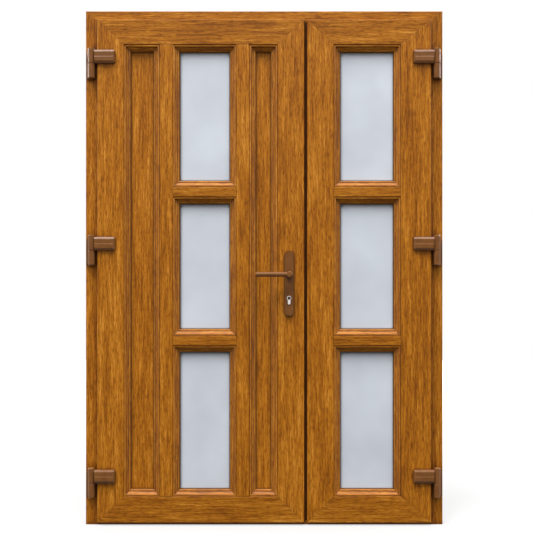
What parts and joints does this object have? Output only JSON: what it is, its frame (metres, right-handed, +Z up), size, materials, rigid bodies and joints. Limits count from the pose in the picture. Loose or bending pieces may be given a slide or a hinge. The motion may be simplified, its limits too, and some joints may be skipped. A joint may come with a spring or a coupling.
{
  "type": "french doors",
  "caption": "Pair of glazed doors in their frame: a wide main leaf with frosted panes between flat panels, and a narrow glazed second leaf, with surface hinges and a lever handle.",
  "frame": {"origin": "middle of the frame's foot on the floor, half way through the depth of the frame", "axes": "+X to the right and +Y away from the viewer, who stands on the side the leaves open to; +Z up"},
  "size_m": [1.4, 0.184, 2.014],
  "materials": {
    "oak_foil": "golden oak foil, fine embossed grain",
    "panel_foil": "golden oak foil on a flat panel",
    "frosted_glass": "frosted, white",
    "seal_rubber": "matte",
    "brown_metal": "satin brown",
    "nickel": "satin nickel",
    "steel": "zinc plated",
    "threshold_metal": "plain anodised"
  },
  "bodies": {
    "frame": {"left_jamb": "oak_foil", "right_jamb": "oak_foil", "head": "oak_foil", "threshold": "threshold_metal", "frame_seal": "seal_rubber", "left_brackets": "brown_metal", "right_brackets": "brown_metal", "hinge_pins": "steel"},
    "main_leaf": {"main_hinge_stile": "oak_foil", "main_lock_stile": "oak_foil", "main_top_rail": "oak_foil", "main_bottom_rail": "oak_foil", "left_mullion": "oak_foil", "right_mullion": "oak_foil", "main_upper_transom": "oak_foil", "main_lower_transom": "oak_foil", "left_panel": "panel_foil", "right_panel": "panel_foil", "main_upper_glass": "frosted_glass", "main_middle_glass": "frosted_glass", "main_lower_glass": "frosted_glass", "left_panel_beads": "oak_foil", "right_panel_beads": "oak_foil", "main_upper_beads": "oak_foil", "main_middle_beads": "oak_foil", "main_lower_beads": "oak_foil", "main_seals": "seal_rubber", "main_hinge_arms": "brown_metal", "front_backplate": "brown_metal", "rear_backplate": "brown_metal", "plate_screws": "brown_metal", "lock_case": "steel", "faceplate": "steel", "lock_cylinder": "nickel"},
    "handle": {"front_lever": "brown_metal", "rear_lever": "brown_metal", "spindle": "steel"},
    "plug": {"cylinder_plug": "nickel"},
    "latch": {"latch": "steel"},
    "deadbolt": {"deadbolt": "steel"},
    "second_leaf": {"second_meeting_stile": "oak_foil", "second_hinge_stile": "oak_foil", "second_top_rail": "oak_foil", "second_bottom_rail": "oak_foil", "second_upper_transom": "oak_foil", "second_lower_transom": "oak_foil", "second_upper_glass": "frosted_glass", "second_middle_glass": "frosted_glass", "second_lower_glass": "frosted_glass", "second_upper_beads": "oak_foil", "second_middle_beads": "oak_foil", "second_lower_beads": "oak_foil", "second_seals": "seal_rubber", "second_hinge_arms": "brown_metal", "meeting_post": "oak_foil", "meeting_seal": "seal_rubber", "keep_plate": "steel"},
    "upper_shoot_bolt": {"upper_shoot_bolt": "steel"},
    "lower_shoot_bolt": {"lower_shoot_bolt": "steel"}
  },
  "joints": [
    {"name": "main_leaf_hinge", "type": "hinge", "parent": "frame", "child": "main_leaf", "pos_m": [-0.674, -0.057, 1.074], "axis": [0, 0, -1], "range_deg": [0, 110]},
    {"name": "second_leaf_hinge", "type": "hinge", "parent": "frame", "child": "second_leaf", "pos_m": [0.674, -0.057, 1.074], "axis": [0, 0, 1], "range_deg": [0, 110]},
    {"name": "lever_turn", "type": "hinge", "parent": "main_leaf", "child": "handle", "pos_m": [0.097, -0.055, 0.98], "axis": [0, -1, 0], "range_deg": [0, 40], "stiffness_Nm_per_rad": 1.5, "springref_deg": -34.38},
    {"name": "latch_slide", "type": "slide", "parent": "main_leaf", "child": "latch", "axis": [-1, 0, 0], "range_m": [0, 0.01]},
    {"name": "plug_turn", "type": "hinge", "parent": "main_leaf", "child": "plug", "pos_m": [0.097, -0.055, 0.888], "axis": [0, 1, 0], "range_deg": [0, 720]},
    {"name": "deadbolt_slide", "type": "slide", "parent": "main_leaf", "child": "deadbolt", "axis": [1, 0, 0], "range_m": [0, 0.032]},
    {"name": "upper_shoot_slide", "type": "slide", "parent": "second_leaf", "child": "upper_shoot_bolt", "axis": [0, 0, 1], "range_m": [0, 0.022]},
    {"name": "lower_shoot_slide", "type": "slide", "parent": "second_leaf", "child": "lower_shoot_bolt", "axis": [0, 0, -1], "range_m": [0, 0.022]}
  ],
  "couplings": [
    {"joint": "latch_slide", "follows": "lever_turn", "m_per_rad": 0.014181},
    {"joint": "plug_turn", "follows": "deadbolt_slide", "rad_per_m": 392.66}
  ]
}
